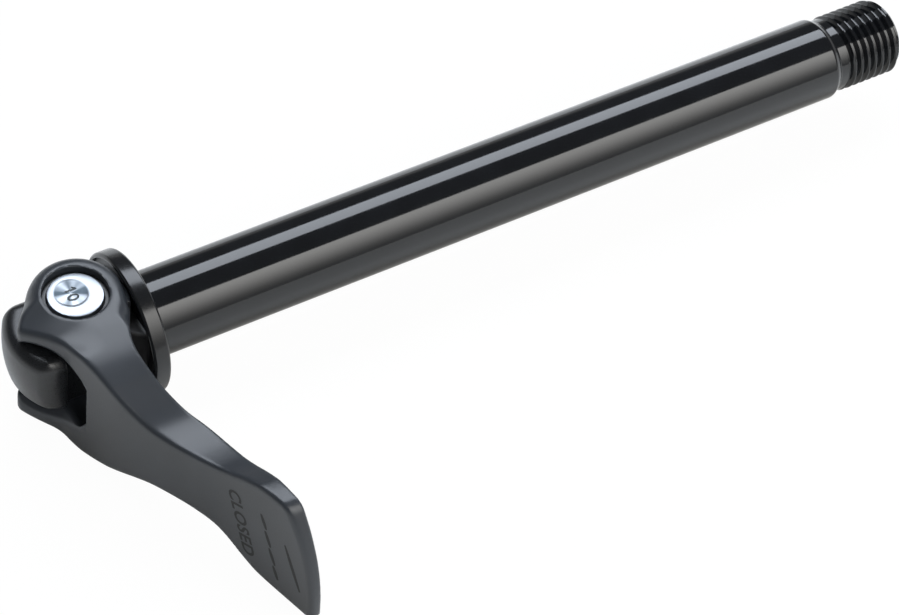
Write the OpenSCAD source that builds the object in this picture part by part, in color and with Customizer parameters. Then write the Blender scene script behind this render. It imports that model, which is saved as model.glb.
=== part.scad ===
// Front thru axle with a folding cam lever.
// X runs along the axle from the lever end to the threaded end, and x = 0 is the clamping face of
// the flange. Z is the axis of the lever's pivot pin. The lever is drawn closed, pointing to -Y.

/* [Shaft] */
// Diameter of the smooth shank
shank_d = 15; // [12:0.5:20]
// Diameter of the reduced end that the flange slides on
guide_d = 14.4; // [13.6:0.1:14.8]
// Length from the clamping face to the end of the smooth shank
shank_length = 139.5; // [90:0.5:200]
// Bevel at the far end of the smooth shank
shank_bevel = 1.2; // [0.4:0.1:2]
// Width of the run-out groove behind the thread
groove_w = 1.6; // [0.8:0.1:3]
// Depth of the run-out groove below the thread's crests
groove_depth = 0.25; // [0.1:0.05:1]
// Major diameter of the end thread
thread_d = 14; // [10:0.5:18]
// Pitch of the end thread
thread_pitch = 1.5; // [1:0.25:2]
// Length of the end thread
thread_length = 11.9; // [8:0.1:20]
// Bevel at the tip of the thread
thread_bevel = 1.1; // [0.9:0.1:1.5]
// Diameter of the bore through the shaft
bore_d = 10; // [7:0.5:11]
// How far the shaft reaches into the flange from the clamping face
shaft_sink = 1.1; // [0.6:0.1:1.2]

/* [Pivot head] */
// Distance from the clamping face to the pin's axis
pin_reach = 11.5; // [11.2:0.1:16]
// Diameter of the neck between the shaft and the tongue
neck_d = 12; // [10.5:0.5:12.5]
// Length of the spigot that is bonded into the shaft's bore
spigot_length = 18; // [8:0.5:30]
// Width of the tongue across the axle, in Y
tongue_w = 12.8; // [12:0.2:14]
// Width of the rounded nose outside the pin, in Y
nose_w = 15.2; // [14.6:0.2:17]
// Radius of the nose about the pin's axis
nose_r = 12.1; // [11:0.1:12.4]
// Rounding along the nose's upper and lower edges
nose_round = 3.6; // [1:0.1:4]
// Step from the nose back to the tongue, outside the pin's axis
nose_step = 6.6; // [5.6:0.1:7.5]

/* [Pivot pin and bushings] */
// Diameter of the pivot pin
pin_d = 9.5; // [8:0.1:9.8]
// How far the pin's ends lie below the cheeks' outer faces
pin_inset = 0.6; // [0.2:0.1:1.5]
// Diameter of the dish in the pin's ends
pin_dish_d = 6; // [3:0.2:7]
// Bevel round the pin's ends
pin_bevel = 0.3; // [0.1:0.05:0.5]
// Depth of the dish in the pin's ends
pin_dish_depth = 0.25; // [0.1:0.05:0.6]
// Wall of the plain bushings in the cheeks
bushing_wall = 0.8; // [0.5:0.05:1]
// How far the bushings' outer ends lie below the cheeks' outer faces
bushing_inset = 1.4; // [0.8:0.1:2.5]

/* [Clamping flange] */
// Diameter of the flange
flange_d = 25.5; // [25:0.5:32]
// Thickness of the flange at its rim
flange_t = 3.1; // [2.8:0.1:3.2]
// Bevel along the flange's edges
flange_bevel = 0.35; // [0.1:0.05:0.6]
// Width of the rim round the saddle's seat
rim_w = 0.8; // [0.5:0.1:1.2]
// Thickness of the flange behind the saddle
web_t = 1.4; // [1.3:0.1:1.7]

/* [Cam saddle] */
// Thickness of the saddle's plate
saddle_t = 1; // [0.8:0.1:1.3]
// Height of the key block above the plate
key_h = 2.8; // [1.5:0.1:3]
// Width of the key block at the plate, in Y
key_base_w = 17.6; // [15:0.2:19]
// Width of the key block at its front, in Y
key_top_w = 13; // [12.6:0.2:15]

/* [Follower spring] */
// Thickness of the wave spring's strip
spring_t = 0.14; // [0.1:0.01:0.15]
// Number of waves in the spring
spring_waves = 3; // [2:1:5]
// Straight pieces that each wave is drawn with
wave_steps = 24; // [12:2:36]

/* [Lever head] */
// Width of the slot between the cheeks
slot_w = 13; // [12:0.1:15]
// How far the cheeks' outer faces stand out past the flange's rim
cheek_proud = 0.25; // [0:0.05:1]
// Radius of the cheeks about the pin
cheek_r = 8.2; // [8:0.05:8.2]
// Rounding of the cheeks' outer rims
cheek_round = 3; // [1:0.1:3.2]
// How far the cheeks' outer corner lies outward of the pin
corner_reach = 10.6; // [9.5:0.1:11]
// How far the cheeks' outer corner lies from the pin towards the tip
corner_at = 1.8; // [1:0.1:3]
// Radius of the cheeks' outer corner
corner_r = 1; // [0.5:0.1:1.5]
// Height of the cheeks' outer corner above the middle plane
corner_h = 9.2; // [7.5:0.1:9.5]
// Radius of the slot's domed closed end about the middle of the pin
slot_r = 14.1; // [13.8:0.1:14.5]
// Width of the slot's flared mouth
mouth_w = 16.8; // [14:0.2:18]
// Length over which the slot widens to its mouth
mouth_depth = 2.1; // [1.5:0.1:3]
// Distance from the pin to the start of the mouth
mouth_at = 7.2; // [6.6:0.1:8]
// Angle of the mouth's axis from the axle's axis
mouth_turn = 27.8; // [20:0.1:35]
// Distance of the mouth's axis from the pin
mouth_shift = 1.5; // [0:0.1:3]

/* [Cam] */
// How much further the cams reach closed than open
cam_lift = 0.8; // [0.4:0.05:0.8]
// Angle from closed to open
open_angle = 135; // [100:1:135]
// Angle that the cams run on past the closed position
cam_lead = 24; // [18:1:26]
// Reach of each cam to either side of the middle plane
cam_half_w = 10.2; // [8.5:0.1:10.4]

/* [Lever blade] */
// Length from the pin to the tip
lever_length = 60; // [52:0.5:75]
// How much shorter the blade's upper corner is than its lower corner
tip_skew = 7; // [0:0.5:9]
// How sharply the slanted tip bends towards its upper corner
tip_bow = 2.4; // [1:0.1:3]
// Rounding of the tip's corners
tip_round = 1.4; // [0.5:0.1:3]
// Distance from the pin to where the cheeks start to narrow into the blade
narrow_at = 6; // [4:0.5:9]
// Distance from the pin to the blade's heel, behind the slot
heel_at = 21; // [18:0.5:24]
// Distance from the pin to the waist
waist_at = 29.5; // [26:0.5:34]
// Distance from the pin to the knee, where the blade starts to flare
knee_at = 39.5; // [36:0.5:44]
// Length over which the blade flares to its full width
flare_run = 11; // [8:0.5:13]
// Width of the blade at its waist
waist_w = 13.2; // [10:0.2:16]
// Width of the blade at its knee
knee_w = 14.6; // [12:0.2:18]
// Width of the blade at its tip
tip_w = 23; // [18:0.5:26]
// Thickness at the slot's closed end
root_t = 9.4; // [8:0.1:11]
// Thickness at the heel
heel_t = 8.6; // [7:0.1:10]
// Thickness at the waist
waist_t = 7.4; // [6:0.1:9]
// Thickness at the knee
knee_t = 4.9; // [4:0.1:7]
// Thickness at the tip
tip_t = 1.8; // [1.4:0.1:3]
// Offset of the outer face from the pin, towards the flange, at the outer corner
corner_x = -10.9; // [-11.5:0.1:-10]
// The same at the slot's mouth
mouth_x = -7; // [-8:0.1:-6]
// The same at the slot's closed end
root_x = -4.8; // [-6:0.1:-4]
// The same at the heel
heel_x = -3; // [-4.5:0.1:-2]
// The same at the waist
waist_x = 1.1; // [0:0.1:3]
// The same at the knee
knee_x = 6; // [5:0.1:8]
// The same at the tip
tip_x = 11.9; // [10:0.1:14]
// Distance from the pin to the throat, where the underside turns up to the cams
throat_at = 8.6; // [7.5:0.1:10]
// Offset of the underside from the pin at the throat
throat_x = 5.6; // [5:0.1:6.5]

/* [Fits] */
// Clearance of pieces that turn or slide on each other, on the radius
run_gap = 0.05; // [0.03:0.01:0.1]
// Clearance of pieces that are pressed or bonded together, on the radius
seat_gap = 0.02; // [0.01:0.005:0.03]
// Clearance between the shank's shoulder and the flange, with the lever closed
face_gap = 0.01; // [0.01:0.01:0.05]
// Clearance between the cams and the saddle
cam_gap = 0.05; // [0.03:0.01:0.2]
// Clearance between the tongue and each cheek
tongue_gap = 0.3; // [0.15:0.05:0.4]
// Clearance between the key block and the tongue, with the lever open
key_gap = 0.3; // [0.1:0.05:0.5]

/* [Hidden] */
$fn = 96;
facets = 32;
eps = 0.01;

// Reach of cuts that go right through
past = 60;
thread_start = shank_length + groove_w;
shaft_end = thread_start + thread_length;
groove_d = thread_d - 2 * groove_depth;
// An ISO thread's depth, and the length of its flanks along the axis
thread_depth = 0.613 * thread_pitch;
flank = thread_depth * tan(30);
crest = thread_pitch / 8;
ring_half = crest / 2 + flank;
rings = floor((thread_length - ring_half) / thread_pitch + 0.5);
cheek_h = flange_d / 2 + cheek_proud;
tongue_h = slot_w / 2 - tongue_gap;
bushing_r = pin_d / 2 + run_gap + bushing_wall;
pin_half = cheek_h - pin_inset;
seat_r = flange_d / 2 - rim_w;
saddle_face = web_t + saddle_t;
cam_r = pin_reach - saddle_face - cam_gap;
spring_gap = web_t - shaft_sink;
tongue_front = saddle_face + key_h + cam_lift + key_gap;
tip_h = tip_w / 2;
// The blade starts just inside the slot's closed end
root_at = slot_r - 1;

// Smooth step from 0 to 1 as t goes from 0 to 1
function ease(t) = let (s = min(1, max(0, t))) s * s * (3 - 2 * s);
function mix(a, b, t) = a + (b - a) * t;

// Points of a smooth curve through the points p
function curve(p, steps = 5) = [
    for (i = [0 : len(p) - 2])
        let (a = p[max(0, i - 1)], b = p[i], c = p[i + 1], d = p[min(len(p) - 1, i + 2)])
            for (k = [0 : steps - 1])
                let (t = k / steps)
                    0.5 * (2 * b + (c - a) * t + (2 * a - 5 * b + 4 * c - d) * t * t
                        + (3 * b - a - 3 * c + d) * t * t * t),
    p[len(p) - 1]
];

// Turns a shape drawn about Z so that its axis lies along X
module along_x() {
    rotate([0, 90, 0])
        children();
}

// Moves a shape drawn about the origin to the pin's axis
module at_pin() {
    translate([-pin_reach, 0, 0])
        children();
}

// Points of a quarter turn of radius r about [x, y], from angle a, in the given number of steps
function quarter(x, y, r, a, steps) = [
    for (i = [0 : steps])
        [x + r * cos(a + 90 * i / steps), y + r * sin(a + 90 * i / steps)]
];

// Points of a rounded corner at b, from a to c
function corner(a, b, c) = [for (t = [0 : 0.2 : 1]) (1 - t) * (1 - t) * a + 2 * t * (1 - t) * b + t * t * c];

// A ring about X: profile points are [x, radius]
module turned(points) {
    along_x()
        rotate_extrude()
            polygon([for (p = points) [p[1], p[0]]]);
}

// Radius that the bevel at the thread's tip leaves at x
function bevelled(x, r) = min(r, thread_d / 2 - thread_bevel + shaft_end - x);

// The thread is drawn as rings of its pitch
function thread_outline() = [
    for (k = [0 : rings - 1])
        for (p = [[-ring_half, 1], [-crest / 2, 0], [crest / 2, 0], [ring_half, 1]])
            let (x = thread_start + (k + 0.5) * thread_pitch + p[0])
                [x, bevelled(x, thread_d / 2 - p[1] * thread_depth)]
];

module axle_shaft() {
    color("#202124")
        turned(concat(
            [
                [-shaft_sink, bore_d / 2],
                [-shaft_sink, guide_d / 2],
                [face_gap, guide_d / 2],
                [face_gap, shank_d / 2],
                [shank_length - shank_bevel, shank_d / 2],
                [shank_length, groove_d / 2],
                [thread_start, groove_d / 2]
            ],
            thread_outline(),
            [
                [shaft_end, thread_d / 2 - thread_bevel],
                [shaft_end, bore_d / 2]
            ]
        ));
}

// The nose is turned about the pin's axis and milled flat on its sides
module nose() {
    intersection() {
        rotate_extrude()
            polygon(concat(
                [[0, -tongue_h]],
                quarter(nose_r - nose_round, nose_round - tongue_h, nose_round, -90, 9),
                quarter(nose_r - nose_round, tongue_h - nose_round, nose_round, 0, 9),
                [[0, tongue_h]]
            ));
        linear_extrude(height = 2 * tongue_h, center = true)
            polygon([
                [-nose_step + 1, -tongue_w / 2],
                [-nose_step, -nose_w / 2],
                [-nose_r - 1, -nose_w / 2],
                [-nose_r - 1, nose_w / 2],
                [-nose_step, nose_w / 2],
                [-nose_step + 1, tongue_w / 2]
            ]);
    }
}

module pivot_head() {
    color("#33363b")
        difference() {
            union() {
                turned([
                    [spigot_length, 0],
                    [spigot_length, bore_d / 2 - seat_gap],
                    [-shaft_sink, bore_d / 2 - seat_gap],
                    [-shaft_sink, neck_d / 2],
                    [-tongue_front - 1, neck_d / 2],
                    [-tongue_front - 1, 0]
                ]);
                translate([-pin_reach - nose_step, -tongue_w / 2, -tongue_h])
                    cube([pin_reach + nose_step - tongue_front, tongue_w, 2 * tongue_h]);
                at_pin()
                    nose();
            }
            at_pin()
                cylinder(d = pin_d, h = past, center = true);
        }
}

module pivot_pin() {
    r = pin_d / 2 - seat_gap;
    dish_r = pin_dish_d / 2;
    color("#e6e9ee")
        at_pin()
            rotate_extrude()
                polygon([
                    [0, -pin_half + pin_dish_depth],
                    [dish_r - pin_dish_depth, -pin_half + pin_dish_depth],
                    [dish_r, -pin_half],
                    [r - pin_bevel, -pin_half],
                    [r, -pin_half + pin_bevel],
                    [r, pin_half - pin_bevel],
                    [r - pin_bevel, pin_half],
                    [dish_r, pin_half],
                    [dish_r - pin_dish_depth, pin_half - pin_dish_depth],
                    [0, pin_half - pin_dish_depth]
                ]);
}

// A thin flat ring between the shaft's end and the saddle, bent into waves along X
module wave_spring() {
    r_in = neck_d / 2 + 3 * run_gap;
    r_out = guide_d / 2 - 3 * run_gap;
    mid = -shaft_sink - spring_gap / 2;
    swing = (spring_gap - spring_t) / 2 - seat_gap;
    steps = wave_steps * spring_waves;
    section = [[-spring_t / 2, r_in], [-spring_t / 2, r_out], [spring_t / 2, r_out], [spring_t / 2, r_in]];
    points = [
        for (i = [0 : steps - 1])
            let (a = 360 * i / steps, x = mid + swing * cos(spring_waves * a))
                for (q = section)
                    [x + q[0], q[1] * cos(a), q[1] * sin(a)]
    ];
    color("#b9bcc2")
        polyhedron(points, [for (i = [0 : steps - 1]) for (k = [0 : 3])
            let (j = (i + 1) % steps, m = (k + 1) % 4)
                [4 * i + k, 4 * j + k, 4 * j + m, 4 * i + m]]);
}

// The bore is bevelled at the clamping face, to clear the shank's shoulder
module clamp_flange() {
    color("#2a2a2b")
        turned([
            [(guide_d - shank_d) / 2, guide_d / 2 + run_gap],
            [0, shank_d / 2 + run_gap],
            [0, flange_d / 2 - flange_bevel],
            [-flange_bevel, flange_d / 2],
            [-flange_t + flange_bevel, flange_d / 2],
            [-flange_t, flange_d / 2 - flange_bevel],
            [-flange_t, seat_r],
            [-web_t, seat_r],
            [-web_t, guide_d / 2 + run_gap]
        ]);
}

// Plate that the cams slide on, with a key block that stands between the cheeks
module cam_saddle() {
    color("#3a3a3c")
        difference() {
            union() {
                turned([
                    [-web_t, 0],
                    [-web_t, seat_r - seat_gap],
                    [-saddle_face, seat_r - seat_gap],
                    [-saddle_face, 0]
                ]);
                linear_extrude(height = 2 * tongue_h, center = true)
                    polygon([
                        [-saddle_face + eps, -key_base_w / 2],
                        [-saddle_face - key_h, -key_top_w / 2],
                        [-saddle_face - key_h, key_top_w / 2],
                        [-saddle_face + eps, key_base_w / 2]
                    ]);
            }
            along_x()
                cylinder(r = neck_d / 2 + run_gap, h = past, center = true);
        }
}

// Cam profile: the distance to the saddle falls evenly as the lever opens
module cam_profile() {
    fall = cam_lift / (open_angle * PI / 180);
    polygon(concat(
        [[0, 0]],
        [for (i = [4 : -1 : 1])
            let (a = -cam_lead * i / 4)
                [cam_r * cos(a), cam_r * sin(a) - fall]],
        [for (i = [0 : 36])
            let (a = open_angle * i / 36, h = cam_r - cam_lift * i / 36)
                [h * cos(a) + fall * sin(a), h * sin(a) - fall * cos(a)]]
    ));
}

// The cheeks' outer form: a domed boss about the pin that falls to the outer corner
module head_form() {
    hull() {
        rotate_extrude($fn = 2 * facets)
            polygon(concat(
                [[0, -cheek_h]],
                quarter(cheek_r - cheek_round, cheek_round - cheek_h, cheek_round, -90, 6),
                quarter(cheek_r - cheek_round, cheek_h - cheek_round, cheek_round, 0, 6),
                [[0, cheek_h]]
            ));
        translate([-corner_reach, -corner_at, 0])
            cylinder(r = corner_r, h = 2 * corner_h, center = true, $fn = facets);
        translate([0, 1 - root_at, 0])
            cube([2 * root_t, 2, 2 * cheek_h - 2], center = true);
    }
}

// Half height of the blade at distance d from the pin
function half_h(d) =
    d < waist_at ? mix(cheek_h, waist_w / 2, ease((d - narrow_at) / (waist_at - narrow_at)))
    : d < knee_at ? mix(waist_w, knee_w, ease((d - waist_at) / (knee_at - waist_at))) / 2
    : mix(knee_w, tip_w, ease((d - knee_at) / flare_run)) / 2;

// Y of the slanted tip, from its lower corner at t = 0 to its upper corner at t = 1
function tip_y(t) = -lever_length + tip_skew * pow(t, tip_bow);

// Outline seen along the axle, from the head to the slanted tip
module front_outline() {
    short = lever_length - tip_skew;
    trim = tip_round / tip_w;
    polygon(concat(
        [for (d = [-cheek_h : 1.5 : short - tip_round - 0.5]) [-d, half_h(d)]],
        corner([tip_round - short, tip_h], [-short, tip_h], [tip_y(1 - trim), tip_h - tip_round]),
        [for (i = [11 : -1 : 1]) [tip_y(i / 12), mix(-tip_h, tip_h, i / 12)]],
        corner([tip_y(trim), tip_round - tip_h], [-lever_length, -tip_h], [tip_round - lever_length, -tip_h]),
        [for (d = [lever_length - tip_round - 0.5 : -1.5 : -cheek_h]) [-d, -half_h(d)]]
    ));
}

// Outline seen along the pin: the outer face down to the tip, and the underside back to the cams
module plan_outline() {
    outer = [
        [corner_x - 3, 3],
        [corner_x, -corner_at],
        [mouth_x, -slot_r / 2],
        [root_x, -slot_r],
        [heel_x, -heel_at],
        [waist_x, -waist_at],
        [knee_x, -knee_at],
        [tip_x, -lever_length]
    ];
    under = [
        [tip_x + tip_t, -lever_length],
        [knee_x + knee_t, -knee_at],
        [waist_x + waist_t, -waist_at],
        [heel_x + heel_t, -heel_at],
        [root_x + root_t, -slot_r],
        [throat_x, -throat_at],
        [cam_r * cos(cam_lead), -cam_r * sin(cam_lead)],
        [cam_r + 3, 3]
    ];
    polygon(concat(curve(outer, 8), curve(under, 8), [[cam_r + 3, past], [corner_x - 3, past]]));
}

// Room for the nose: a slot with a domed closed end, and a conical mouth on the outer face
module slot() {
    dome_steps = 12;
    mouth_slope = (mouth_w - slot_w) / 2 / mouth_depth;
    mouth_run = corner_reach / 2;
    rotate_extrude()
        polygon(concat(
            [[0, -slot_w / 2]],
            [for (i = [0 : dome_steps])
                let (z = slot_w * (i / dome_steps - 0.5))
                    [sqrt(slot_r * slot_r - z * z), z]],
            [[0, slot_w / 2]]
        ));
    intersection() {
        rotate([0, 0, mouth_turn])
            translate([-mouth_at, -mouth_shift, 0])
                rotate([0, -90, 0])
                    cylinder(
                        r1 = slot_w / 2,
                        r2 = slot_w / 2 + mouth_slope * mouth_run,
                        h = mouth_run
                    );
        cylinder(r = slot_r, h = past, center = true);
    }
}

module lever() {
    color("#3d4046")
        at_pin()
            difference() {
                intersection() {
                    union() {
                        head_form();
                        linear_extrude(height = 2 * cam_half_w, center = true)
                            cam_profile();
                        translate([-past / 2, -lever_length - 1, -past / 2])
                            cube([past, lever_length + 1 - root_at, past]);
                    }
                    rotate([90, 0, 90])
                        linear_extrude(height = 2 * past, center = true)
                            front_outline();
                    linear_extrude(height = 2 * past, center = true)
                        plan_outline();
                }
                slot();
                cylinder(r = bushing_r + seat_gap, h = past, center = true);
            }
}

module bushing(side) {
    low = slot_w / 2;
    high = cheek_h - bushing_inset;
    color("#17181a")
        at_pin()
            difference() {
                translate([0, 0, side > 0 ? low : -high])
                    cylinder(r = bushing_r, h = high - low);
                cylinder(r = pin_d / 2 + run_gap, h = past, center = true);
            }
}

module upper_bushing() {
    bushing(1);
}

module lower_bushing() {
    bushing(-1);
}

axle_shaft();
pivot_head();
pivot_pin();
wave_spring();
clamp_flange();
cam_saddle();
lever();
upper_bushing();
lower_bushing();
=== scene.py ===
"""Looks of a bicycle thru axle with a folding cam lever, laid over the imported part."""
import math

import bmesh
import bpy
import numpy as np
import openvdb
from mathutils import Matrix, Vector


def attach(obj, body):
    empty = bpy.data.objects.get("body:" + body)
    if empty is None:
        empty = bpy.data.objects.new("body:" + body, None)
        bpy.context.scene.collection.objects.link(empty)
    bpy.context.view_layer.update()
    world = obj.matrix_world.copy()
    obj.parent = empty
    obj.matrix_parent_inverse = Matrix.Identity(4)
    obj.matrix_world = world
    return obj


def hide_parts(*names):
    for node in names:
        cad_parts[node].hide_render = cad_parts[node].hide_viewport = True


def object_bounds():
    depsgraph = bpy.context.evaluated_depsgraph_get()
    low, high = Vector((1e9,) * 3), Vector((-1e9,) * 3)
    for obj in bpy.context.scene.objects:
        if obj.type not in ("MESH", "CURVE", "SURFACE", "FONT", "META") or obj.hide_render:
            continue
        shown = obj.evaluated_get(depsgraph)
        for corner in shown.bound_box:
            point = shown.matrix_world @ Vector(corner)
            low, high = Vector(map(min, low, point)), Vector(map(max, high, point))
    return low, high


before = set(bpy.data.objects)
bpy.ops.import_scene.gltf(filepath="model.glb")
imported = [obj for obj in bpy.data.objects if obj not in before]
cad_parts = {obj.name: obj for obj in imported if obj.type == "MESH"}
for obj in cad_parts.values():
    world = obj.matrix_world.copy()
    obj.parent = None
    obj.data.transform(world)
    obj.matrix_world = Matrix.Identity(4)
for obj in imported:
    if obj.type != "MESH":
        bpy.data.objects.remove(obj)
cad_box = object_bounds()
MM = 0.001

# Camera
# Stands over the lever end and looks down at it along the axle, through a long lens, as in the
# photograph. X runs along the axle, Z along the lever's pin.
AZIMUTH, ELEVATION, ROLL = (math.radians(a) for a in (-36.319, 49.606, 7.603))
BACK = Vector((math.sin(AZIMUTH) * math.cos(ELEVATION), -math.cos(AZIMUTH) * math.cos(ELEVATION),
               math.sin(ELEVATION)))
LEVEL = Vector((math.cos(AZIMUTH), math.sin(AZIMUTH), 0))
UPRIGHT = BACK.cross(LEVEL)
RIGHT = math.cos(ROLL) * LEVEL + math.sin(ROLL) * UPRIGHT
UP = math.cos(ROLL) * UPRIGHT - math.sin(ROLL) * LEVEL
DISTANCE = 601.572 * MM
LENS, SENSOR = 144.16, 36
FRAME_W, FRAME_H = 899, 615
# where the axle's origin falls in the frame, in pixels from its upper left corner
ORIGIN_U, ORIGIN_V = 136.671, 318.947
pixels = LENS / SENSOR * FRAME_W
lens = bpy.data.cameras.new("camera")
lens.lens = LENS
lens.sensor_width = SENSOR
camera = bpy.data.objects.new("camera", lens)
place = DISTANCE * (BACK - RIGHT * (ORIGIN_U - FRAME_W / 2) / pixels
                    - UP * (FRAME_H / 2 - ORIGIN_V) / pixels)
turn = Matrix((RIGHT, UP, BACK)).transposed().to_4x4()
camera.matrix_world = Matrix.Translation(place) @ turn
bpy.context.collection.objects.link(camera)
bpy.context.scene.camera = camera
bpy.context.scene.view_settings.view_transform = "Standard"


# Studio
# A pale table under a dark room: a tall softbox in front, a long strip light behind and above,
# and the table's pale far edge, which is what the gloss black shaft shows in its bands.
def linear(code, alpha=1.0):
    """An sRGB hex colour as the linear colour that Blender's sockets take."""
    parts = [int(code[i:i + 2], 16) / 255 for i in (1, 3, 5)]
    return tuple(c / 12.92 if c <= 0.04045 else ((c + 0.055) / 1.055) ** 2.4
                 for c in parts) + (alpha,)


def add_node(tree, kind, settings=None, **inputs):
    """Adds a node: settings are its own fields, inputs are sockets' values or links to them."""
    node = tree.nodes.new(kind)
    for name, value in (settings or {}).items():
        setattr(node, name, value)
    for name, value in inputs.items():
        key = int(name[1:]) if name[0] == "_" else name.replace("_", " ")
        if isinstance(value, bpy.types.NodeSocket):
            tree.links.new(value, node.inputs[key])
        else:
            node.inputs[key].default_value = value
    return node


def new_tree(owner):
    """Empty node tree of a material, lamp or world."""
    owner.use_nodes = True
    owner.node_tree.nodes.clear()
    return owner.node_tree


def hang_softbox(name, angle, radius, along, width, length, colour, near, far):
    """An emitting panel that faces the axle. angle is round the axle from +Y towards +Z, and near
    and far are its strengths at its upper and lower edge."""
    tree = new_tree(bpy.data.materials.new(name))
    place = add_node(tree, "ShaderNodeTexCoord")
    split = add_node(tree, "ShaderNodeSeparateXYZ", _0=place.outputs["Generated"])
    fade = add_node(tree, "ShaderNodeMapRange", {"interpolation_type": "SMOOTHSTEP"},
                    Value=split.outputs["Y"], To_Min=far, To_Max=near)
    glow = add_node(tree, "ShaderNodeEmission", Color=linear(colour),
                    Strength=fade.outputs["Result"])
    faces = add_node(tree, "ShaderNodeNewGeometry")
    dark = add_node(tree, "ShaderNodeEmission", Strength=0.0)
    sides = add_node(tree, "ShaderNodeMixShader", _0=faces.outputs["Backfacing"],
                     _1=glow.outputs[0], _2=dark.outputs[0])
    add_node(tree, "ShaderNodeOutputMaterial", Surface=sides.outputs[0])
    mesh = bpy.data.meshes.new(name)
    mesh.from_pydata([(-length / 2, -width / 2, 0), (length / 2, -width / 2, 0),
                      (length / 2, width / 2, 0), (-length / 2, width / 2, 0)], [], [(0, 1, 2, 3)])
    mesh.materials.append(bpy.data.materials[name])
    panel = bpy.data.objects.new(name, mesh)
    a = math.radians(angle)
    towards = Vector((0, -math.cos(a), -math.sin(a)))
    raised = Vector((0, math.sin(a), -math.cos(a)))
    if raised.z < 0:
        raised.negate()
    side = raised.cross(towards)
    panel.matrix_world = Matrix.Translation(Vector((along, 0, 0)) - radius * towards) @ Matrix(
        (side, raised, towards)).transposed().to_4x4()
    panel.visible_camera = False
    bpy.context.collection.objects.link(panel)
    return panel


hang_softbox("softbox_front", 147, 1.0, 0.45, 1.0, 1.3, "#fffefb", 5.2, 0.7)
hang_softbox("strip_behind", 61, 1.0, 0.45, 0.50, 1.5, "#eef5ff", 6.4, 6.4)

FLOOR_HALF = 4.0
floor_z = cad_box[0][2] - 0.0002
table_mesh = bpy.data.meshes.new("table")
table_mesh.from_pydata([(x * FLOOR_HALF, y * FLOOR_HALF, floor_z) for x, y in
                        ((-1, -1), (1, -1), (1, 1), (-1, 1))], [], [(0, 1, 2, 3)])
table = bpy.data.objects.new("table", table_mesh)
bpy.context.collection.objects.link(table)
# matt white laminate: the camera sees it nearly burnt out, with a trace of the axle's shadow
laminate = bpy.data.materials.new("white_laminate")
tree = new_tree(laminate)
rays = add_node(tree, "ShaderNodeLightPath")
matt = add_node(tree, "ShaderNodeBsdfDiffuse", Color=linear("#f2f2f0"))
white = add_node(tree, "ShaderNodeEmission", Color=(1, 1, 1, 1), Strength=1.0)
share = add_node(tree, "ShaderNodeMath", {"operation": "MULTIPLY"},
                 _0=rays.outputs["Is Camera Ray"], _1=0.97)
mixed = add_node(tree, "ShaderNodeMixShader", _0=share.outputs[0], _1=matt.outputs[0],
                 _2=white.outputs[0])
add_node(tree, "ShaderNodeOutputMaterial", Surface=mixed.outputs[0])
table_mesh.materials.append(laminate)

# the room: white to the camera, a pale haze at the table's far edge and dark above it
world = bpy.data.worlds.new("studio")
bpy.context.scene.world = world
tree = new_tree(world)
rays = add_node(tree, "ShaderNodeLightPath")
aim = add_node(tree, "ShaderNodeTexCoord")
split = add_node(tree, "ShaderNodeSeparateXYZ", _0=aim.outputs["Generated"])
haze = add_node(tree, "ShaderNodeMapRange", {"interpolation_type": "SMOOTHSTEP"},
                Value=split.outputs["Z"], From_Min=0.0, From_Max=0.26, To_Min=0.6, To_Max=0.10)
seen = add_node(tree, "ShaderNodeMix", {"data_type": "FLOAT"}, Factor=rays.outputs["Is Camera Ray"],
                A=haze.outputs["Result"], B=1.0)
glow = add_node(tree, "ShaderNodeBackground", Color=(1, 1, 1, 1), Strength=seen.outputs["Result"])
add_node(tree, "ShaderNodeOutputWorld", Surface=glow.outputs[0])


# Shaft
# Drawn aluminium tube, 15 mm outside and 10 mm inside, turned down at its far end and cut with
# an M14 x 1.5 thread, then anodised gloss black all over.
SHANK_R, GUIDE_R, BORE_R, GROOVE_R, THREAD_R, ROOT_R = 7.5, 7.2, 5.0, 6.75, 7.0, 6.08
SHAFT_START, SHOULDER, SHANK_END, THREAD_START, SHAFT_END = -1.1, 0.01, 139.5, 141.1, 153.0
PITCH = 1.5


def soften(points, radius, steps=4):
    """Rounds every corner of a closed outline."""
    out = []
    for i, here in enumerate(points):
        before, after = Vector(points[i - 1]), Vector(points[(i + 1) % len(points)])
        here = Vector(here)
        r = radius[i] if isinstance(radius, (list, tuple)) else radius
        if r <= 0:
            out.append(tuple(here))
            continue
        a = here + (before - here).normalized() * min(r, (before - here).length * 0.45)
        b = here + (after - here).normalized() * min(r, (after - here).length * 0.45)
        for k in range(steps + 1):
            t = k / steps
            out.append(tuple(a * (1 - t) ** 2 + here * 2 * t * (1 - t) + b * t * t))
    return out


def finish_mesh(name, points, faces, sharp=35.0):
    """Mesh object from points in millimetres, smooth but for edges sharper than the angle."""
    mesh = bpy.data.meshes.new(name)
    mesh.from_pydata([tuple(c * MM for c in p) for p in points], [], [tuple(f) for f in faces])
    work = bmesh.new()
    work.from_mesh(mesh)
    bmesh.ops.remove_doubles(work, verts=work.verts, dist=1e-7)
    bmesh.ops.dissolve_degenerate(work, edges=work.edges, dist=1e-8)
    bmesh.ops.recalc_face_normals(work, faces=work.faces)
    work.to_mesh(mesh)
    work.free()
    mesh.shade_smooth()
    mesh.set_sharp_from_angle(angle=math.radians(sharp))
    piece = bpy.data.objects.new(name, mesh)
    bpy.context.collection.objects.link(piece)
    return piece


def turned_faces(rows, steps, closed=True):
    """Faces of a grid of rows of points, each row once round an axis."""
    faces = []
    for j in range(rows if closed else rows - 1):
        k = (j + 1) % rows
        for i in range(steps):
            n = (i + 1) % steps
            faces.append((j * steps + i, j * steps + n, k * steps + n, k * steps + i))
    return faces


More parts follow.
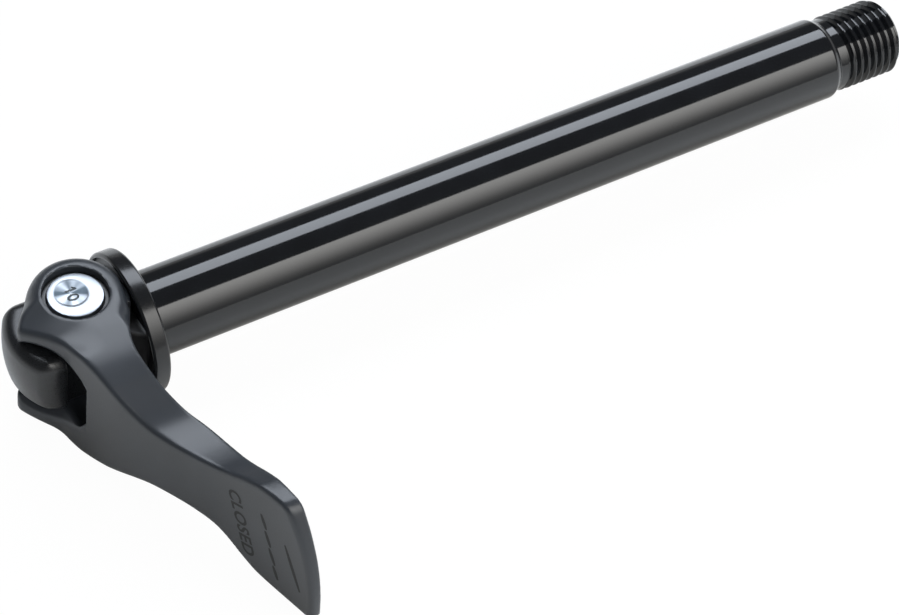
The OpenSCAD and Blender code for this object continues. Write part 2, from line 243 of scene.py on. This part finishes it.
def turned_on_axle(name, outline, steps=160):
    """A ring turned about X from a closed outline of [x, radius] points."""
    points = []
    for x, r in outline:
        for i in range(steps):
            a = 2 * math.pi * i / steps
            points.append((x, r * math.cos(a), r * math.sin(a)))
    return finish_mesh(name, points, turned_faces(len(outline), steps))


def shaft_rows(steps):
    """Rows of [x, radius] per step round the shaft: thread, bore, smooth shank, run-out groove."""
    plain = soften([(THREAD_START, GROOVE_R), (SHANK_END, GROOVE_R), (SHANK_END - 1.2, SHANK_R),
                    (SHOULDER, SHANK_R), (SHOULDER, GUIDE_R), (SHAFT_START, GUIDE_R),
                    (SHAFT_START, BORE_R)], [0, 0.15, 0.35, 0.05, 0.05, 0.1, 0.05])
    # one turn of the thread: root flat, flank, crest flat, flank, as shares of the pitch
    tooth = [(0.0, 0), (0.11, 0), (0.16, 0.09), (0.40, 0.92), (0.44, 1), (0.56, 1), (0.60, 0.92),
             (0.84, 0.09), (0.89, 0)]
    turns = int((SHAFT_END - THREAD_START) / PITCH) + 2
    rows = []
    for k in range(-1, turns):
        for share, rise in tooth:
            row = []
            for i in range(steps):
                x = THREAD_START + PITCH * (k + i / steps + share)
                x = min(max(x, THREAD_START), SHAFT_END)
                rise_in = GROOVE_R + 0.8 * (x - THREAD_START)
                bevel_out = ROOT_R - 0.18 + 1.0 * (SHAFT_END - x)
                row.append((x, min(ROOT_R + rise * (THREAD_R - ROOT_R), rise_in, bevel_out)))
            rows.append(row)
    rows += [[(SHAFT_END, BORE_R + 0.4)] * steps, [(SHAFT_END - 0.4, BORE_R)] * steps]
    return rows + [[p] * steps for p in reversed(plain)]


SHAFT_STEPS = 160
rows = shaft_rows(SHAFT_STEPS)
SHAFT_TURN = 2 * math.pi / SHAFT_STEPS
points = [(x, r * math.cos(SHAFT_TURN * i), r * math.sin(SHAFT_TURN * i))
          for row in rows for i, (x, r) in enumerate(row)]
shaft = finish_mesh("shaft", points, turned_faces(len(rows), SHAFT_STEPS), 30)

# gloss black anodising: a dyed oxide film that mirrors sharply at its clear surface, over the
# faint rings that the turning tool left; the real feed of 0.05 mm is drawn at 0.5 mm
gloss_anodise = bpy.data.materials.new("gloss_black_anodised_aluminium")
tree = new_tree(gloss_anodise)
where = add_node(tree, "ShaderNodeTexCoord")
rings = add_node(tree, "ShaderNodeMapping", Vector=where.outputs["Object"],
                 Scale=(2000.0, 25.0, 25.0))
lines = add_node(tree, "ShaderNodeTexNoise", Vector=rings.outputs[0], Scale=1.0, Detail=2.0)
cloud = add_node(tree, "ShaderNodeTexNoise", Vector=where.outputs["Object"], Scale=180.0,
                 Detail=3.0)
rough = add_node(tree, "ShaderNodeMapRange", Value=cloud.outputs["Fac"], From_Min=0.3, From_Max=0.7,
                 To_Min=0.075, To_Max=0.105)
shade = add_node(tree, "ShaderNodeMix", {"data_type": "RGBA"}, Factor=cloud.outputs["Fac"],
                 A=linear("#0d0e10"), B=linear("#15171a"))
bump = add_node(tree, "ShaderNodeBump", Height=lines.outputs["Fac"], Strength=0.04,
                Distance=0.02 * MM)
skin_shader = add_node(tree, "ShaderNodeBsdfPrincipled", Base_Color=shade.outputs["Result"],
                       Roughness=rough.outputs["Result"], Normal=bump.outputs[0], IOR=1.52)
add_node(tree, "ShaderNodeOutputMaterial", Surface=skin_shader.outputs[0])
shaft.data.materials.append(gloss_anodise)
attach(shaft, "axle")
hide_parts("axle_shaft")


# Pivot head
# Aluminium tongue with the pin's hole and a rounded nose that fills the lever's slot, bonded into
# the shaft's bore. It is machined, tumbled smooth and anodised satin black.
PIN_X = -11.5
TONGUE_H, TONGUE_HALF, NOSE_HALF, NOSE_R, NOSE_STEP = 6.2, 6.4, 7.9, 12.1, 5.2
PIN_R, NECK_R, TONGUE_FRONT, SPIGOT = 4.75, 6.0, 6.3, 18.0
# the nose bulges to a barrel of this radius, widest above the middle, and stands a little taller
BARREL_R, BARREL_AT, NOSE_RISE = 25.0, 2.0, 0.2


def edge(a, b, radius):
    """Where two solids overlap, with the edge between their faces rounded."""
    inside = np.minimum(np.maximum(a, b), -radius)
    return np.hypot(np.maximum(a + radius, 0), np.maximum(b + radius, 0)) + inside


def skin(name, form, low, high, cell):
    """Mesh of the surface where form(x, y, z), a distance in millimetres, is zero."""
    count = [int(math.ceil((h - l) / cell)) + 1 for l, h in zip(low, high)]
    axes = [l + cell * np.arange(n) for l, n in zip(low, count)]
    grid = np.meshgrid(*axes, indexing="ij")
    values = form(*grid).astype(np.float32)
    cloud = openvdb.FloatGrid(float(values.max()))
    cloud.copyFromArray(values)
    points, _, quads = cloud.convertToPolygons(isovalue=0.0, adaptivity=0.0)
    points = np.asarray(points, dtype=float) * cell + np.array(low)
    step = 0.02
    for _ in range(3):
        x, y, z = points.T
        here = form(x, y, z)
        slope = np.stack([form(x + step, y, z) - form(x - step, y, z),
                          form(x, y + step, z) - form(x, y - step, z),
                          form(x, y, z + step) - form(x, y, z - step)], axis=1) / (2 * step)
        size = np.maximum((slope ** 2).sum(axis=1), 0.3)
        move = np.clip(here / size, -cell / 2, cell / 2)
        points = points - slope * move[:, None]
    return finish_mesh(name, points.tolist(), quads.tolist(), 50)


def head_form(x, y, z):
    """Distance to the pivot head's surface."""
    u = x - PIN_X
    reach = np.hypot(u, y)
    round_axle = np.hypot(y, z)
    bulge = (z - BARREL_AT) ** 2 / (2 * BARREL_R)
    barrel = edge(reach - NOSE_R + bulge, np.abs(y) - NOSE_HALF, 1.5)
    nose = edge(barrel, np.abs(z) - TONGUE_H - NOSE_RISE, 2.2)
    nose = edge(nose, u + NOSE_STEP, 0.4)
    tongue = edge(np.abs(y) - TONGUE_HALF, np.abs(z) - TONGUE_H, 0.5)
    tongue = edge(tongue, np.maximum(x + TONGUE_FRONT, -u - NOSE_STEP - 1), 0.4)
    neck = np.maximum(round_axle - NECK_R + 0.02, np.maximum(x + 1.1, -x - TONGUE_FRONT - 1))
    spigot = np.maximum(round_axle - BORE_R + 0.02, np.maximum(x - SPIGOT, -x - TONGUE_FRONT - 1))
    solid = np.minimum(np.minimum(neck, spigot), np.minimum(nose, tongue))
    return edge(solid, PIN_R - reach, 0.2)


CELL = 0.3
head = skin("pivot_head_soft", head_form, (-25, -9, -7.4), (19, 9, 7.4), CELL)
# satin anodising over a tumbled surface: the same black film with a fine matt tooth
satin_anodise = bpy.data.materials.new("satin_black_anodised_aluminium")


def tumbled_black(material, dark, light, roughness, grain, bump_depth):
    """Black film over a blasted or tumbled surface, with a fine grain in its height and gloss."""
    tree = new_tree(material)
    where = add_node(tree, "ShaderNodeTexCoord")
    fine = add_node(tree, "ShaderNodeTexNoise", Vector=where.outputs["Object"],
                    Scale=1 / (grain * MM), Detail=3.0)
    broad = add_node(tree, "ShaderNodeTexNoise", Vector=where.outputs["Object"], Scale=120.0,
                     Detail=4.0)
    shade = add_node(tree, "ShaderNodeMix", {"data_type": "RGBA"}, Factor=broad.outputs["Fac"],
                     A=linear(dark), B=linear(light))
    rough = add_node(tree, "ShaderNodeMapRange", Value=fine.outputs["Fac"], From_Min=0.3,
                     From_Max=0.7, To_Min=roughness - 0.04, To_Max=roughness + 0.04)
    bump = add_node(tree, "ShaderNodeBump", Height=fine.outputs["Fac"], Strength=0.25,
                    Distance=bump_depth * MM)
    film = add_node(tree, "ShaderNodeBsdfPrincipled", Base_Color=shade.outputs["Result"],
                    Roughness=rough.outputs["Result"], Normal=bump.outputs[0], IOR=1.5)
    add_node(tree, "ShaderNodeOutputMaterial", Surface=film.outputs[0])


tumbled_black(satin_anodise, "#141517", "#1d1f22", 0.3, 0.15, 0.01)
head.data.materials.append(satin_anodise)
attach(head, "axle")
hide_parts("pivot_head")


# Pivot pin
# Plated steel pin across the fork, turned with a shallow dish in each end, a little off its middle.
# The upper dish has a plain number pressed in.
PIN_HALF, DISH_R, DISH_DEPTH = 12.4, 3.0, 0.1


DISH_AT = Vector((-0.45, 0.65))
STROKE_HALF, STROKE_DEPTH = 0.14, 0.1
# the number 10, drawn as strokes from point to point, its baseline along -Y
ONE = [(-1.15, 1.25), (0.6, 1.25), (0.2, 1.65)]
ZERO = [(-0.55 + 0.87 * math.cos(a * math.pi / 12), -0.3 + 0.52 * math.sin(a * math.pi / 12))
        for a in range(25)]


def from_stroke(x, y, line):
    """Distance from a point to a line of strokes."""
    best = 9.0
    for (ax, ay), (bx, by) in zip(line, line[1:]):
        t = ((x - ax) * (bx - ax) + (y - ay) * (by - ay)) / ((bx - ax) ** 2 + (by - ay) ** 2)
        t = min(1.0, max(0.0, t))
        best = min(best, math.hypot(x - ax - t * (bx - ax), y - ay - t * (by - ay)))
    return best


def end_rows(side, steps=144):
    """Rows of points over one end of the pin, from the middle of its dish to its rim."""
    rings = [0.04 + 0.075 * k for k in range(35)]
    rings += [2.68, 2.76, 2.84, 2.92, DISH_R, 3.08, 3.16, 4.4, 4.62, 4.72]
    rows = []
    for r in rings:
        shift = DISH_AT * (1 - min(1.0, max(0.0, (r - 3.2) / 1.2)))
        row = []
        for i in range(steps):
            a = 2 * math.pi * i / steps
            x, y = r * math.cos(a) + shift.x, r * math.sin(a) + shift.y
            wall = min(1.0, max(0.0, (DISH_R + 0.15 - r) / 0.6))
            depth = DISH_DEPTH * (0.5 - 0.5 * math.cos(math.pi * wall))
            if side > 0 and r < 2.7:
                near = min(from_stroke(x, y, ONE), from_stroke(x, y, ZERO))
                depth += STROKE_DEPTH * min(1.0, max(0.0, (STROKE_HALF - near) / 0.07 + 0.5))
            if r > 4.5:
                depth = (r - 4.5) ** 2 * 5
            row.append((PIN_X + x, y, side * (PIN_HALF - depth)))
        rows.append(row)
    return rows


rows = end_rows(1) + end_rows(-1)[::-1]
points = [p for row in rows for p in row]
middle = [(PIN_X + DISH_AT.x, DISH_AT.y, z) for z in (PIN_HALF - DISH_DEPTH, DISH_DEPTH - PIN_HALF)]
steps, total = len(rows[0]), len(points)
caps = []
for i in range(steps):
    n = (i + 1) % steps
    caps += [(total, n, i), (total + 1, total - steps + i, total - steps + n)]
pin = finish_mesh("pin", points + middle, turned_faces(len(rows), steps, False) + caps)
# bright plated steel, with the fine rings of the facing tool and cloudy bands in its gloss; the
# dark sectors in its dish are a painted reflection, the bow-tie pattern that circular tool marks
# mirror
plated_steel = bpy.data.materials.new("bright_plated_steel")
tree = new_tree(plated_steel)
where = add_node(tree, "ShaderNodeTexCoord")
centred = add_node(tree, "ShaderNodeMapping", Vector=where.outputs["Object"],
                   Location=((-PIN_X - DISH_AT.x) * MM, -DISH_AT.y * MM, 0.0))
flat = add_node(tree, "ShaderNodeVectorMath", {"operation": "MULTIPLY"}, _0=centred.outputs[0],
                _1=(1.0, 1.0, 0.0))
from_axis = add_node(tree, "ShaderNodeVectorMath", {"operation": "LENGTH"}, _0=flat.outputs[0])
aimed = add_node(tree, "ShaderNodeVectorMath", {"operation": "NORMALIZE"}, _0=flat.outputs[0])
ring = add_node(tree, "ShaderNodeTexWave", {"wave_type": "RINGS", "rings_direction": "Z"},
                Vector=centred.outputs[0], Scale=900.0, Distortion=0.5, Detail=1.0)
sector = add_node(tree, "ShaderNodeTexNoise", Vector=aimed.outputs[0], Scale=1.3, Detail=0.0)
cloud = add_node(tree, "ShaderNodeTexNoise", Vector=where.outputs["Object"], Scale=700.0,
                 Detail=3.0)
in_dish = add_node(tree, "ShaderNodeMapRange", Value=from_axis.outputs["Value"], From_Min=0.0030,
                   From_Max=0.0027, To_Min=0.0, To_Max=1.0)
bowtie_sector_mask = add_node(tree, "ShaderNodeMapRange", Value=sector.outputs["Fac"], From_Min=0.35,
                  From_Max=0.65, To_Min=0.0, To_Max=1.0)
painted_bowtie_reflection = add_node(tree, "ShaderNodeMath", {"operation": "MULTIPLY"}, _0=in_dish.outputs["Result"],
                  _1=bowtie_sector_mask.outputs["Result"])
rough = add_node(tree, "ShaderNodeMapRange", Value=cloud.outputs["Fac"], From_Min=0.3, From_Max=0.7,
                 To_Min=0.3, To_Max=0.42)
bright = add_node(tree, "ShaderNodeMix", {"data_type": "RGBA"}, Factor=cloud.outputs["Fac"],
                  A=linear("#8f949a"), B=linear("#a4a9af"))
# painted reflection: dark bow-tie sectors in the dish's colour, standing in for how the circular
# tool marks mirror the lamps
shade = add_node(tree, "ShaderNodeMix", {"data_type": "RGBA"}, Factor=painted_bowtie_reflection.outputs[0],
                 A=bright.outputs["Result"], B=linear("#3c444a"))
bump = add_node(tree, "ShaderNodeBump", Height=ring.outputs["Fac"], Strength=0.1, Distance=0.00002)
plate = add_node(tree, "ShaderNodeBsdfPrincipled", Base_Color=shade.outputs["Result"], Metallic=1.0,
                 Roughness=rough.outputs["Result"], Normal=bump.outputs[0])
add_node(tree, "ShaderNodeOutputMaterial", Surface=plate.outputs[0])
pin.data.materials.append(plated_steel)
# painted shade: the number's grooves get a dark grey material that stands in for the shade inside
# them
groove_shade_material = bpy.data.materials.new("dark_polishing_residue")
tree = new_tree(groove_shade_material)
where = add_node(tree, "ShaderNodeTexCoord")
grain = add_node(tree, "ShaderNodeTexNoise", Vector=where.outputs["Object"], Scale=4000.0,
                 Detail=2.0)
shade = add_node(tree, "ShaderNodeMix", {"data_type": "RGBA"}, Factor=grain.outputs["Fac"],
                 A=linear("#1b2226"), B=linear("#4c565c"))
groove_shade_shader = add_node(tree, "ShaderNodeBsdfPrincipled", Base_Color=shade.outputs["Result"], Roughness=0.6)
add_node(tree, "ShaderNodeOutputMaterial", Surface=groove_shade_shader.outputs[0])
pin.data.materials.append(groove_shade_material)
GROOVE_TOP = PIN_HALF - DISH_DEPTH - 0.45 * STROKE_DEPTH
# faces deep in the number's grooves take the painted shade
for face in pin.data.polygons:
    x, y, z = face.center / MM
    if 10 < z < GROOVE_TOP and math.hypot(x - PIN_X, y) < 3.5:
        face.material_index = 1
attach(pin, "axle")
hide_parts("pivot_pin")


# Follower spring
# Thin spring-steel ring bent into waves between the shaft's end and the saddle. The CAD solid
# already has its shape, so it only gets its bare bright finish.
spring_steel = bpy.data.materials.new("spring_steel")
tree = new_tree(spring_steel)
where = add_node(tree, "ShaderNodeTexCoord")
cloud = add_node(tree, "ShaderNodeTexNoise", Vector=where.outputs["Object"], Scale=400.0,
                 Detail=3.0)
shade = add_node(tree, "ShaderNodeMix", {"data_type": "RGBA"}, Factor=cloud.outputs["Fac"],
                 A=linear("#8b9096"), B=linear("#b4b9bf"))
strip = add_node(tree, "ShaderNodeBsdfPrincipled", Base_Color=shade.outputs["Result"], Metallic=1.0,
                 Roughness=0.3)
add_node(tree, "ShaderNodeOutputMaterial", Surface=strip.outputs[0])
spring_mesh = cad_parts["wave_spring"].data
spring_mesh.materials.clear()
spring_mesh.materials.append(spring_steel)


# Clamping flange
# Turned aluminium disc that presses on the fork end, anodised satin black, with a recess on its
# lever side for the saddle and light bevels round its rim.
FLANGE_R, FLANGE_T, WEB, SEAT_R, RUN = 12.75, 3.1, 1.4, 11.95, 0.05
flange = turned_on_axle("flange_disc", soften([
    (-0.3, GUIDE_R + RUN), (0, SHANK_R + RUN), (0, FLANGE_R - 0.35), (-0.35, FLANGE_R),
    (0.35 - FLANGE_T, FLANGE_R), (-FLANGE_T, FLANGE_R - 0.35), (-FLANGE_T, SEAT_R), (-WEB, SEAT_R),
    (-WEB, GUIDE_R + RUN)], [0.05, 0.05, 0.2, 0.2, 0.2, 0.15, 0.1, 0.05, 0.1]))
half_gloss = bpy.data.materials.new("half_gloss_black_anodised_aluminium")
tumbled_black(half_gloss, "#101113", "#17181a", 0.2, 0.12, 0.006)
flange.data.materials.append(half_gloss)
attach(flange, "follower")
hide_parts("clamp_flange")


# Cam saddle
# Moulded nylon plate that the cams slide on; its key block stands between the cheeks and keeps
# the plate from turning.
SADDLE_FACE, KEY_H, KEY_BASE, KEY_TOP = 2.4, 2.8, 8.8, 6.5


def fillet(a, b, radius):
    """Two solids joined, with the inner corner between them filled round."""
    return -edge(-a, -b, radius)


def saddle_form(x, y, z):
    """Distance to the saddle's surface."""
    round_axle = np.hypot(y, z)
    plate = edge(round_axle - SEAT_R + 0.02, np.maximum(x + WEB, -x - SADDLE_FACE), 0.15)
    slope = (KEY_BASE - KEY_TOP) / KEY_H
    flank = (np.abs(y) - KEY_BASE - slope * (x + SADDLE_FACE)) / math.hypot(1, slope)
    ends = np.maximum(-x - SADDLE_FACE - KEY_H, x + 2.0)
    key = edge(edge(flank, np.abs(z) - TONGUE_H, 0.4), ends, 0.4)
    return edge(fillet(plate, key, 0.2), NECK_R + RUN - round_axle, 0.15)


saddle = skin("saddle_plate", saddle_form, (-6.2, -13, -13), (-0.6, 13, 13), CELL)
nylon = bpy.data.materials.new("moulded_black_nylon")
tumbled_black(nylon, "#1a1a1b", "#232324", 0.38, 0.25, 0.012)
saddle.data.materials.append(nylon)
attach(saddle, "follower")
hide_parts("cam_saddle")


# Lever
# Forged aluminium fork in one piece: two cheeks with cam rims round the pin, which run together
# into a slim curved blade with a flared, slanted tip. Blasted, then coated satin black.
CHEEK_R, CHEEK_ROUND = 8.2, 3.0
SLOT_R, SLOT_HALF, CAM_R, CAM_LIFT, OPEN, CAM_HALF = 14.1, 6.5, 9.05, 0.8, 135.0, 10.2
LEVER_LENGTH, TIP_SKEW, TIP_HALF = 60.3, 7.0, 11.6
BUSH_R = 5.6
# flared mouth of the slot: how far it is turned, where it starts, its shift and its spread
MOUTH_TURN, MOUTH_AT, MOUTH_SHIFT, MOUTH_SPREAD = 27.8, 7.2, 1.5, 0.905
# offset of the outer face, offset of the underside, and half the height, along Y
OUTER = [(-62, 12.3), (-60, 11.9), (-55, 10.55), (-50, 9.17), (-45, 7.73), (-39.5, 6), (-35, 3.95),
         (-29.5, 1.15), (-24.6, -1.2), (-20, -3), (-15, -4.4), (-10.5, -5.75), (-7.05, -7),
         (-1.8, -10.9), (3, -13.9)]
INNER = [(-62, 14.1), (-60, 13.85), (-55, 13.2), (-50, 12.5), (-45, 11.8), (-39.5, 11), (-34, 9.9),
         (-29.5, 8.6), (-25, 6.6), (-20, 4.8), (-15, 3.95), (-11.5, 4.3), (-8.6, 5.6),
         (-3.68, 8.27), (3, 12.05)]
HALF = [(-62, 11.6), (-52, 11.6), (-48, 11.35), (-46, 10.75), (-44, 9.9), (-42, 8.9), (-40, 8.05),
        (-38, 7.45), (-35, 7), (-32, 6.85), (-29.5, 6.9), (-27, 7.2), (-24.6, 7.95), (-22, 9.05),
        (-20, 9.95), (-18, 10.8), (-14.5, 11.9), (-10, 12.6), (-6, 12.95), (0, 12.95), (14, 12.95)]


def smooth_line(points):
    """Finely stepped smooth curve through the points: its positions and its values there."""
    p = [np.array(q, dtype=float) for q in points]
    out = []
    for i in range(len(p) - 1):
        a, b, c, d = p[max(0, i - 1)], p[i], p[i + 1], p[min(len(p) - 1, i + 2)]
        for k in range(8):
            t = k / 8
            out.append(0.5 * (2 * b + (c - a) * t + (2 * a - 5 * b + 4 * c - d) * t * t
                              + (3 * b - a - 3 * c + d) * t ** 3))
    out.append(p[-1])
    return np.array(out).T


outer_line, inner_line, half_line = smooth_line(OUTER), smooth_line(INNER), smooth_line(HALF)


def ease(t):
    """Smooth step from 0 to 1."""
    t = np.clip(t, 0, 1)
    return t * t * (3 - 2 * t)


def squared(rise):
    """Turns a distance along an axis into one square to a face with that rise per millimetre."""
    return 1 / np.sqrt(1 + rise * rise)


def read_line(line, y):
    """Value of a line at y, and its rise per millimetre there."""
    return np.interp(y, *line), np.interp(y + 0.5, *line) - np.interp(y - 0.5, *line)


def lever_form(x, y, z):
    """Distance to the lever's surface."""
    u = x - PIN_X
    reach = np.maximum(np.hypot(u, y), 0.01)
    tall = np.abs(z)
    outer, outer_rise = read_line(outer_line, y)
    inner, inner_rise = read_line(inner_line, y)
    half, half_rise = read_line(half_line, y)
    front = (outer - u) * squared(outer_rise)
    back = (u - inner) * squared(inner_rise)
    # the cheeks' rim round the pin, and the flat that runs from it to the outer corner
    along_flat = -0.62 * u - 0.785 * y
    swell = np.clip((0.766 * u + 0.643 * y) / reach, 0, 1)
    rim = np.where(along_flat > 0, 0.62 * y - 0.785 * u - CHEEK_R,
                   np.where((y < 0) & (u > 0), u - CHEEK_R - 0.23, reach - CHEEK_R - 0.3 * swell))
    plan = np.maximum(edge(rim, front, 1.0), edge(rim, back, 2.5))
    # top: level round the pin, falling to the outer corner and along the blade
    past = np.maximum(-u, 0) * np.maximum(1 - 5.8 / reach, 0)
    fall = 0.5 * past * ease((y + 13) / 7) * ease((8 - y) / 8)
    sides = (tall - half + fall) * squared(np.hypot(half_rise, 0.4 * ease(fall)))
    end_at = -LEVER_LENGTH + TIP_SKEW * np.clip((z / TIP_HALF + 1) / 2, 0, 1) ** 2.4
    top = edge(sides, (end_at - y) * 0.92, 1.4)
    crease = np.where(back > front, 0.5, 0.9)
    rounding = CHEEK_ROUND - 0.85 * swell
    solid = edge(plan, top, rounding + (crease - rounding) * ease((along_flat - 1.8) / 4))
    # cams: the rims that bear on the saddle, their reach falling evenly with the angle
    angle = np.degrees(np.arctan2(y, u))
    cam_at = CAM_R - CAM_LIFT * np.clip(angle, 0, OPEN) / OPEN
    cam = np.where((angle > -24) & (angle < OPEN), reach - cam_at, reach - 7.5)
    solid = np.minimum(solid, edge(cam, tall - CAM_HALF, 0.3))
    # slot between the cheeks, its flared mouth, and the bushings' bore
    slot = edge(np.hypot(reach, z) - SLOT_R, tall - SLOT_HALF, 0.6)
    turn = math.radians(MOUTH_TURN)
    along = u * math.cos(turn) + y * math.sin(turn)
    across = y * math.cos(turn) - u * math.sin(turn)
    cone = np.hypot(across + MOUTH_SHIFT, z) - SLOT_HALF + MOUTH_SPREAD * (MOUTH_AT + along)
    mouth = cone * squared(MOUTH_SPREAD)
    solid = edge(solid, -slot, 0.3)
    solid = edge(solid, -np.maximum(mouth, reach - SLOT_R), 0.5)
    return edge(solid, BUSH_R + 0.01 - reach, 0.2)


lever = skin("lever_forging", lever_form, (-26.5, -61.8, -14), (4.0, 10.5, 14), CELL)
coating = bpy.data.materials.new("satin_black_coated_aluminium")
# thin sprayed coat over blasted metal: soft broad highlights with a cool sheen
tumbled_black(coating, "#25282c", "#30343a", 0.34, 0.18, 0.012)
lever.data.materials.append(coating)
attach(lever, "cam_lever")
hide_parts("lever")


# Lettering
# The word CLOSED, which tells how the lever stands, and five plain grip strokes near the tip. They
# are thin dark pieces on the outer face, painted shade that stands in for shallow letters cut into
# it.
def on_outer_face(name, flat_points, faces, corner, turn_deg):
    """Thin piece on the lever's outer face. flat_points are [along, up] in millimetres from the
    corner, which is [y, z]; along points down the face and up points to the lever's tip."""
    a = math.radians(turn_deg)
    points = []
    for along, up in flat_points:
        y = corner[0] - up * math.cos(a) - along * math.sin(a)
        z = corner[1] - along * math.cos(a) + up * math.sin(a)
        points.append((PIN_X + float(np.interp(y, *outer_line)) - 0.02, y, z))
    piece = finish_mesh(name, points, faces)
    piece.data.materials.append(painted_letter_shade)
    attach(piece, "cam_lever")
    return piece


# painted shade: near-black pieces that stand in for the shade inside sunk letters and strokes
painted_letter_shade = bpy.data.materials.new("thin_dark_coating_in_sunk_letters")
tumbled_black(painted_letter_shade, "#040405", "#08090a", 0.6, 0.2, 0.015)
word = bpy.data.curves.new("closed", "FONT")
word.body = "CLOSED"
word.size = 3.6
word.offset = 0.09
word.space_character = 1.06
word.resolution_u = 4
holder = bpy.data.objects.new("closed", word)
bpy.context.collection.objects.link(holder)
bpy.context.view_layer.update()
drawn = bpy.data.meshes.new_from_object(holder.evaluated_get(bpy.context.evaluated_depsgraph_get()))
bpy.data.objects.remove(holder)
on_outer_face("closed_word", [(v.co.x, v.co.y) for v in drawn.vertices],
              [tuple(f.vertices) for f in drawn.polygons], (-41.0, 4.9), 18)


def stroke(length, width, parts=10):
    """Outline points and faces of a straight stroke that tapers to its ends."""
    flat, faces = [], []
    for k in range(parts + 1):
        t = k / parts
        half = width / 2 * math.sin(math.pi * (0.08 + 0.84 * t)) ** 0.5
        flat += [(length * t, -half), (length * t, half)]
        if k:
            faces.append((2 * k - 2, 2 * k, 2 * k + 1, 2 * k - 1))
    return flat, faces


# where each stroke starts, as [y, z], and its length
STROKES = [(-48.2, 5.0, 3.2), (-49.3, 1.6, 3.4), (-50.4, -1.9, 3.6), (-51.5, -5.5, 3.0),
           (-53.6, 2.2, 9.5)]
for number, (y, z, length) in enumerate(STROKES):
    flat, faces = stroke(length, 0.75)
    on_outer_face("grip_stroke_" + str(number + 1), flat, faces, (y, z), 24)


# Bushings
# Plain acetal sleeves pressed into the cheeks, which the pin turns in.
BUSH_LOW, BUSH_HIGH = 6.5, 11.6


def turned_on_pin(name, outline, steps=128):
    """A ring turned about the pin's axis from a closed outline of [radius, z] points."""
    angles = [2 * math.pi * i / steps for i in range(steps)]
    points = [(PIN_X + r * math.cos(a), r * math.sin(a), z) for r, z in outline for a in angles]
    return finish_mesh(name, points, turned_faces(len(outline), steps))


acetal = bpy.data.materials.new("black_acetal")
tumbled_black(acetal, "#0b0b0c", "#121213", 0.35, 0.2, 0.008)
for name, side in (("upper_bushing", 1), ("lower_bushing", -1)):
    ring = soften([(PIN_R + RUN, BUSH_LOW), (BUSH_R, BUSH_LOW), (BUSH_R, BUSH_HIGH),
                   (PIN_R + RUN, BUSH_HIGH)], 0.15, 3)
    sleeve = turned_on_pin(name + "_sleeve", [(r, side * z) for r, z in ring])
    sleeve.data.materials.append(acetal)
    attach(sleeve, "cam_lever")
    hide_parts(name)
